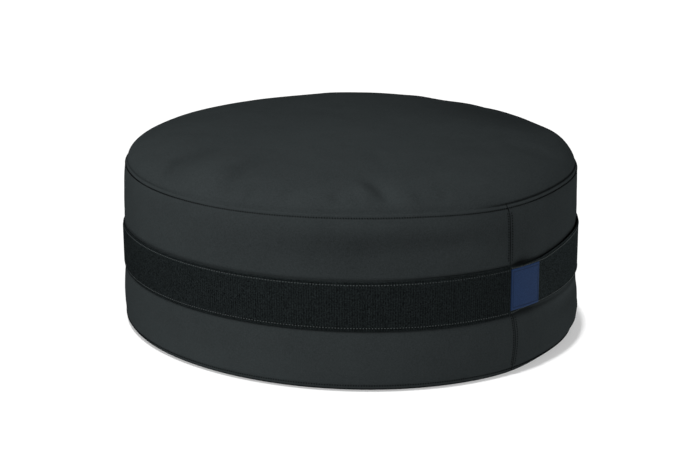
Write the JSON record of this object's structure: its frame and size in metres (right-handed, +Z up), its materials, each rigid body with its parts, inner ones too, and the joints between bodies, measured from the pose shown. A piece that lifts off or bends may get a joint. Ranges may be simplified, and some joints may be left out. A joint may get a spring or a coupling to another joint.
{
  "type": "round drum-shaped meditation cushion with a webbing band and a carry handle",
  "caption": "Firm round floor cushion with straight sides, a domed top, a webbing band sewn round its middle and a webbing carry handle with a small bare label.",
  "frame": {"origin": "centre of the flat base, on the surface that the cushion rests on", "axes": "+Z up through the top panel, +X towards the middle of the carry handle"},
  "size_m": [0.4029, 0.4005, 0.1726],
  "materials": {
    "cover_cloth": "charcoal woven upholstery cloth, matt with a soft sheen",
    "webbing": "near-black ribbed webbing, matt",
    "label_cloth": "navy woven label, bare, matt"
  },
  "bodies": {
    "root": {"cushion": "cover_cloth", "webbing_band": "webbing", "carry_handle": "webbing", "woven_label": "label_cloth"}
  },
  "joints": []
}
